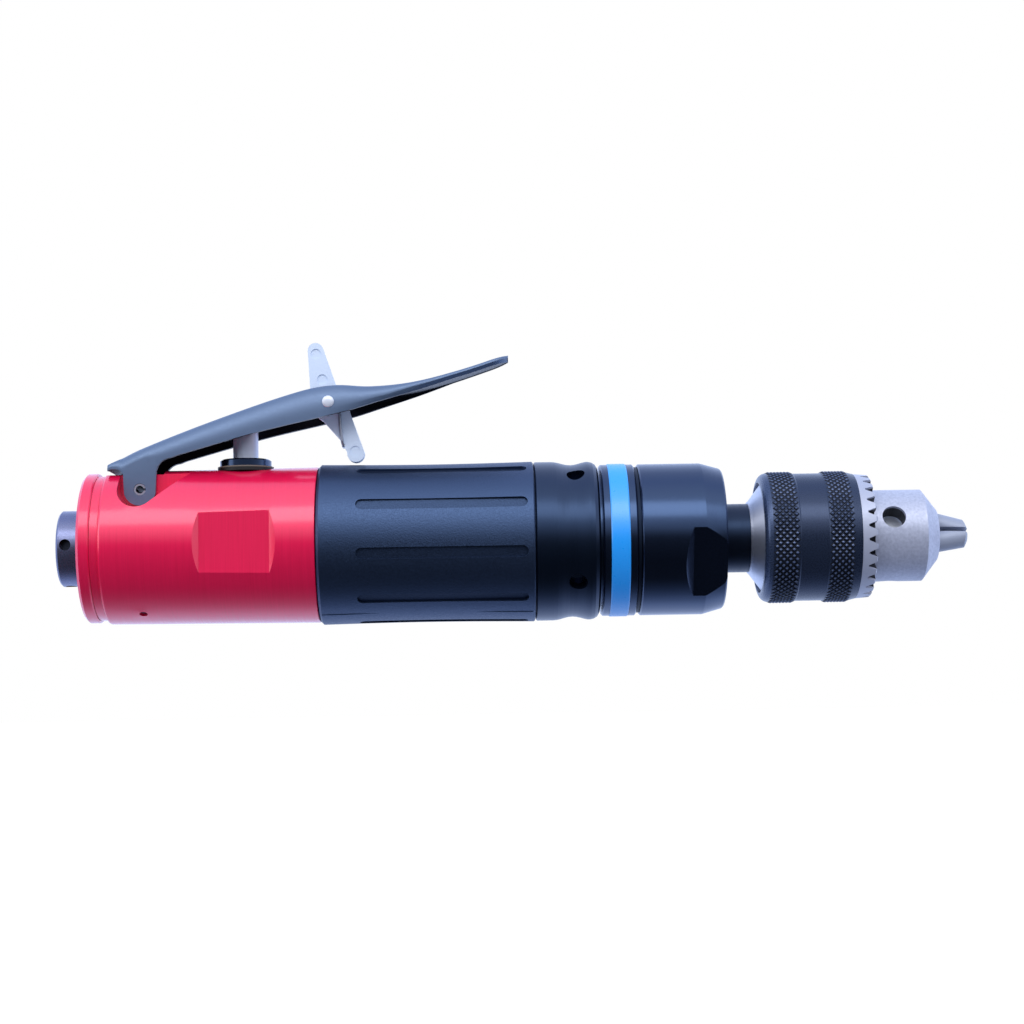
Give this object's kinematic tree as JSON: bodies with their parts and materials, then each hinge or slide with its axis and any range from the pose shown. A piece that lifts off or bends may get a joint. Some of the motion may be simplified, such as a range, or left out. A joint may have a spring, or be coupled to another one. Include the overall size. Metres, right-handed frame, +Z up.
{
  "type": "air drill",
  "caption": "Straight hand-held air drill: round handle with a lever throttle and lock-off latch, grip sleeve, planetary gear case and a keyed three-jaw chuck.",
  "frame": {"origin": "on the tool axis, in the plane of the air inlet's mouth", "axes": "+X along the tool axis towards the chuck, +Z up through the throttle lever, -Y towards the side seen in the picture"},
  "size_m": [0.2333, 0.0412, 0.0729],
  "materials": {
    "red_anodised": "satin anodised, turned",
    "black_anodised": "satin black anodised",
    "black_steel": "black oxide",
    "black_rubber": "fine textured",
    "black_moulded": "gloss",
    "blue_band": "gloss",
    "lever_paint": "satin slate paint",
    "latch_grey": "satin",
    "bright_steel": "ground",
    "dark_steel": "plain",
    "spring_steel": "drawn wire",
    "felt": "felt",
    "vane_plastic": "resin",
    "seal_rubber": "plain"
  },
  "bodies": {
    "housing": {"handle": "red_anodised", "exhaust_cap": "red_anodised", "exhaust_silencer": "felt", "inlet_bush": "black_steel", "inlet_screen": "bright_steel", "lock_screw": "black_steel", "valve_bush": "black_steel", "valve_washer": "seal_rubber", "valve_spring": "spring_steel", "lever_pin": "bright_steel", "grip_sleeve": "black_rubber", "rear_end_plate": "dark_steel", "motor_cylinder": "dark_steel", "front_end_plate": "dark_steel", "cylinder_dowel": "bright_steel", "rotor_bearing_outer_rings": "bright_steel", "rotor_bearing_balls": "bright_steel", "clamp_collar": "black_moulded", "gear_case": "black_steel", "speed_band": "blue_band", "joint_ring": "seal_rubber", "ring_gear": "dark_steel", "nose": "black_anodised", "bearing_retainer": "dark_steel", "spindle_bearing_outer_rings": "bright_steel", "spindle_bearing_balls": "bright_steel", "spindle_seal": "felt"},
    "plunger": {"valve_plunger": "bright_steel"},
    "lever": {"lever": "lever_paint", "latch_pin": "bright_steel"},
    "latch": {"latch": "latch_grey", "latch_spring": "spring_steel"},
    "rotor": {"rotor": "dark_steel", "rotor_vanes": "vane_plastic", "rotor_bearing_inner_rings": "bright_steel"},
    "spindle": {"spindle": "black_steel", "planet_pins": "bright_steel", "carrier_plate": "dark_steel", "spindle_bearing_inner_rings": "bright_steel", "chuck_body": "bright_steel"},
    "planet_1": {"planet_gear_1": "dark_steel"},
    "planet_2": {"planet_gear_2": "dark_steel"},
    "planet_3": {"planet_gear_3": "dark_steel"},
    "key_sleeve": {"chuck_sleeve": "black_steel", "tooth_ring": "bright_steel", "chuck_nut": "dark_steel"},
    "jaw_1": {"chuck_jaw_1": "bright_steel"},
    "jaw_2": {"chuck_jaw_2": "bright_steel"},
    "jaw_3": {"chuck_jaw_3": "bright_steel"}
  },
  "joints": [
    {"name": "lever_press", "type": "hinge", "parent": "housing", "child": "lever", "pos_m": [0.0213, 0, 0.0143], "axis": [0, 1, 0], "range_deg": [0, 4], "stiffness_Nm_per_rad": 6, "springref_deg": -5.73},
    {"name": "plunger_slide", "type": "slide", "parent": "housing", "child": "plunger", "axis": [0, 0, -1], "range_m": [0, 0.002], "deforming": ["valve_spring"]},
    {"name": "latch_swing", "type": "hinge", "parent": "lever", "child": "latch", "pos_m": [0.0693, 0, 0.0361], "axis": [0, -1, 0], "range_deg": [0, 40], "deforming": ["latch_spring"]},
    {"name": "spindle_spin", "type": "hinge", "parent": "housing", "child": "spindle", "pos_m": [0.1697, 0, 0], "axis": [1, 0, 0], "continuous": true},
    {"name": "rotor_spin", "type": "hinge", "parent": "housing", "child": "rotor", "pos_m": [0.1216, 0, 0], "axis": [1, 0, 0], "continuous": true},
    {"name": "planet_1_spin", "type": "hinge", "parent": "spindle", "child": "planet_1", "pos_m": [0.135, 0, -0.00825], "axis": [1, 0, 0], "continuous": true},
    {"name": "planet_2_spin", "type": "hinge", "parent": "spindle", "child": "planet_2", "pos_m": [0.135, 0.00714, 0.00413], "axis": [1, 0, 0], "continuous": true},
    {"name": "planet_3_spin", "type": "hinge", "parent": "spindle", "child": "planet_3", "pos_m": [0.135, -0.00714, 0.00413], "axis": [1, 0, 0], "continuous": true},
    {"name": "sleeve_turn", "type": "hinge", "parent": "spindle", "child": "key_sleeve", "pos_m": [0.1794, 0, 0], "axis": [1, 0, 0], "range_deg": [-396, 2286]},
    {"name": "jaw_1_slide", "type": "slide", "parent": "spindle", "child": "jaw_1", "axis": [-0.9659, -0.2011, -0.1629], "range_m": [-0.00221, 0.01271]},
    {"name": "jaw_2_slide", "type": "slide", "parent": "spindle", "child": "jaw_2", "axis": [-0.9659, 0.2416, -0.0928], "range_m": [-0.00221, 0.01271]},
    {"name": "jaw_3_slide", "type": "slide", "parent": "spindle", "child": "jaw_3", "axis": [-0.9659, -0.0405, 0.2556], "range_m": [-0.00221, 0.01271]}
  ],
  "couplings": [
    {"joint": "plunger_slide", "follows": "lever_press", "m_per_rad": 0.0282},
    {"joint": "latch_swing", "follows": "lever_press", "ratio": 10},
    {"joint": "rotor_spin", "follows": "spindle_spin", "ratio": 5},
    {"joint": "planet_1_spin", "follows": "spindle_spin", "ratio": -2.6667},
    {"joint": "planet_2_spin", "follows": "spindle_spin", "ratio": -2.6667},
    {"joint": "planet_3_spin", "follows": "spindle_spin", "ratio": -2.6667},
    {"joint": "jaw_1_slide", "follows": "sleeve_turn", "m_per_rad": 0.00031831},
    {"joint": "jaw_2_slide", "follows": "sleeve_turn", "m_per_rad": 0.00031831},
    {"joint": "jaw_3_slide", "follows": "sleeve_turn", "m_per_rad": 0.00031831}
  ]
}
